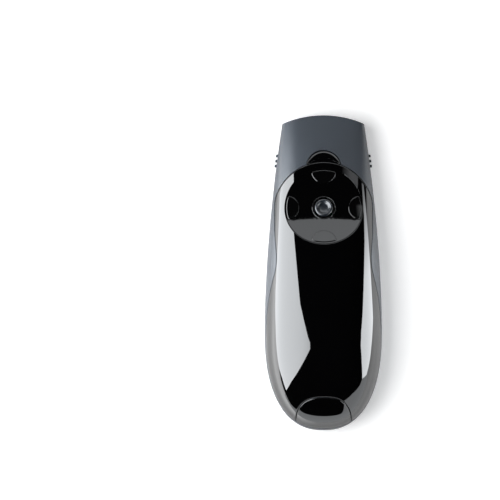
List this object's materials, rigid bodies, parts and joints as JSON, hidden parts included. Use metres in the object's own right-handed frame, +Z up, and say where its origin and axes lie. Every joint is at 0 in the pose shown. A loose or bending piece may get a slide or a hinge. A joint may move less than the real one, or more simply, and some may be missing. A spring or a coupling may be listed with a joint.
{
  "type": "wireless presentation clicker",
  "caption": "Palm-shaped presentation clicker: dished control pad with half-moon keys and a thumb joystick, laser button, and a USB receiver that slides out of the tail.",
  "frame": {"origin": "on the ground, below the middle of the clicker's bounding box", "axes": "+X right, +Y towards the nose, +Z up; the clicker rests on its flat underside"},
  "size_m": [0.0436, 0.117, 0.029],
  "materials": {
    "grey_housing": "fine satin texture, rubberised",
    "black_gloss": "piano black",
    "dish_gloss": "piano black",
    "key_gloss": "gloss black",
    "laser_button_gloss": "gloss black",
    "joystick_rubber": "satin rubber",
    "black_plastic": "moulded",
    "white_plastic": "moulded",
    "board_green": "solder mask",
    "switch_case": "moulded",
    "nickel": "nickel plated",
    "usb_steel": "drawn steel",
    "gold": "gold plated",
    "screw_steel": "blackened",
    "cell_wrap": "shrink wrap",
    "brass": "turned",
    "diode_can": "gold plated",
    "clear_lens": "clear"
  },
  "bodies": {
    "housing": {"lower_housing": "grey_housing", "upper_housing": "grey_housing", "top_cover": "black_gloss", "control_dish": "dish_gloss", "inner_chassis": "black_plastic", "housing_screws": "screw_steel", "keypad_board": "board_green", "board_screws": "screw_steel", "laser_switch": "switch_case", "joystick_can": "nickel", "joystick_dome": "nickel", "battery_left": "cell_wrap", "battery_right": "cell_wrap", "positive_contact": "nickel", "negative_contact": "nickel", "bridge_contact": "nickel", "front_spring": "nickel", "rear_spring": "nickel", "laser_barrel": "brass", "laser_lens": "clear_lens", "laser_diode": "diode_can", "laser_board": "board_green", "laser_window": "clear_lens", "right_switch": "switch_case", "top_switch": "switch_case", "left_switch": "switch_case", "bottom_switch": "switch_case"},
    "laser_press_part": {"laser_button": "laser_button_gloss", "laser_plunger": "black_plastic"},
    "right_press_part": {"right_key": "key_gloss", "right_plunger": "black_plastic"},
    "top_press_part": {"top_key": "key_gloss", "top_plunger": "black_plastic"},
    "left_press_part": {"left_key": "key_gloss", "left_plunger": "black_plastic"},
    "bottom_press_part": {"bottom_key": "key_gloss", "bottom_plunger": "black_plastic"},
    "joystick_slider": {"joystick_frame": "black_plastic"},
    "joystick_ring": {"joystick_rocker": "black_plastic"},
    "joystick": {"joystick_stem": "black_plastic", "joystick_cap": "joystick_rubber"},
    "receiver": {"receiver_cap": "black_gloss", "receiver_case": "black_plastic", "usb_plug": "usb_steel", "usb_tongue": "white_plastic", "usb_contacts": "gold", "receiver_board": "board_green"},
    "door": {"battery_door": "grey_housing"}
  },
  "joints": [
    {"name": "laser_press", "type": "slide", "parent": "housing", "child": "laser_press_part", "axis": [0, -0.2924, -0.9563], "range_m": [0, 0.0005], "stiffness_N_per_m": 400},
    {"name": "right_press", "type": "slide", "parent": "housing", "child": "right_press_part", "axis": [0, -0.2924, -0.9563], "range_m": [0, 0.0005], "stiffness_N_per_m": 400},
    {"name": "top_press", "type": "slide", "parent": "housing", "child": "top_press_part", "axis": [0, -0.2924, -0.9563], "range_m": [0, 0.0005], "stiffness_N_per_m": 400},
    {"name": "left_press", "type": "slide", "parent": "housing", "child": "left_press_part", "axis": [0, -0.2924, -0.9563], "range_m": [0, 0.0005], "stiffness_N_per_m": 400},
    {"name": "bottom_press", "type": "slide", "parent": "housing", "child": "bottom_press_part", "axis": [0, -0.2924, -0.9563], "range_m": [0, 0.0005], "stiffness_N_per_m": 400},
    {"name": "joystick_press", "type": "slide", "parent": "housing", "child": "joystick_slider", "axis": [0, -0.2924, -0.9563], "range_m": [0, 0.0003], "stiffness_N_per_m": 800},
    {"name": "joystick_tilt_y", "type": "hinge", "parent": "joystick_slider", "child": "joystick_ring", "pos_m": [0, 0.02296, 0.01686], "axis": [1, 0, 0], "range_deg": [-7, 7], "stiffness_Nm_per_rad": 0.02},
    {"name": "joystick_tilt_x", "type": "hinge", "parent": "joystick_ring", "child": "joystick", "pos_m": [0, 0.02296, 0.01686], "axis": [0, 0.9563, -0.2924], "range_deg": [-7, 7], "stiffness_Nm_per_rad": 0.02},
    {"name": "receiver_slide", "type": "slide", "parent": "housing", "child": "receiver", "axis": [0, -1, 0], "range_m": [0, 0.05]},
    {"name": "door_tip", "type": "hinge", "parent": "housing", "child": "door", "pos_m": [0, -0.0316, 0], "axis": [-1, 0, 0], "range_deg": [0, 60]}
  ]
}
